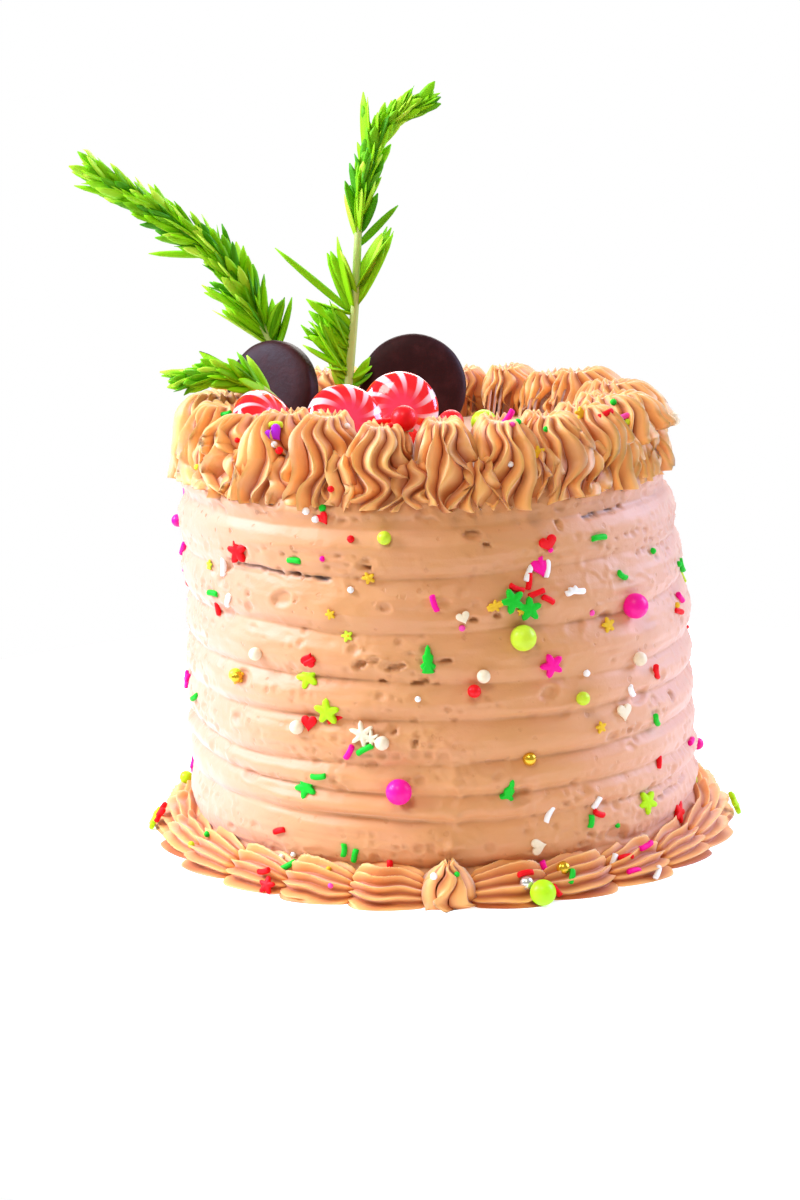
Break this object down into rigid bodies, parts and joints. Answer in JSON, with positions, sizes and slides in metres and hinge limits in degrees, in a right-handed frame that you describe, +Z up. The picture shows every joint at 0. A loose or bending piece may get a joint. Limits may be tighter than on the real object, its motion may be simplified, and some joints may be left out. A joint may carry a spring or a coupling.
{
  "type": "chocolate cake",
  "caption": "Tall round frosted chocolate cake with piped top and foot borders, sprinkles, rosemary, chocolate discs and striped mints.",
  "frame": {"origin": "middle of the frosted body's flat underside, on the surface the cake stands on", "axes": "+Z up, -Y to the front of the cake as pictured, +X to the viewer's right"},
  "size_m": [0.219, 0.1952, 0.2445],
  "materials": {
    "frosting": "matte caramel buttercream",
    "chocolate": "matte dark chocolate",
    "mint": "glossy boiled sugar, red and white stripes",
    "rosemary": "fresh green leaf"
  },
  "bodies": {
    "root": {"cake_body": "frosting", "swirl_01": "frosting", "swirl_02": "frosting", "swirl_03": "frosting", "swirl_04": "frosting", "swirl_05": "frosting", "swirl_06": "frosting", "swirl_07": "frosting", "swirl_08": "frosting", "swirl_09": "frosting", "swirl_10": "frosting", "swirl_11": "frosting", "swirl_12": "frosting", "swirl_13": "frosting", "swirl_14": "frosting", "swirl_15": "frosting", "swirl_16": "frosting", "swirl_17": "frosting", "swirl_18": "frosting", "swirl_19": "frosting", "swirl_20": "frosting", "swirl_21": "frosting", "swirl_22": "frosting", "swirl_23": "frosting", "swirl_24": "frosting", "shell_right_01": "frosting", "shell_right_02": "frosting", "shell_right_03": "frosting", "shell_right_04": "frosting", "shell_right_05": "frosting", "shell_right_06": "frosting", "shell_right_07": "frosting", "shell_right_08": "frosting", "shell_right_09": "frosting", "shell_right_10": "frosting", "shell_right_11": "frosting", "shell_right_12": "frosting", "shell_left_01": "frosting", "shell_left_02": "frosting", "shell_left_03": "frosting", "shell_left_04": "frosting", "shell_left_05": "frosting", "shell_left_06": "frosting", "shell_left_07": "frosting", "shell_left_08": "frosting", "shell_left_09": "frosting", "shell_left_10": "frosting", "shell_left_11": "frosting", "shell_left_12": "frosting", "shell_dollop": "frosting", "chocolate_disc_right": "chocolate", "chocolate_disc_left": "chocolate", "mint_right": "mint", "mint_middle": "mint", "mint_left": "mint", "rosemary_left": "rosemary", "rosemary_right": "rosemary", "rosemary_low": "rosemary"}
  },
  "joints": []
}
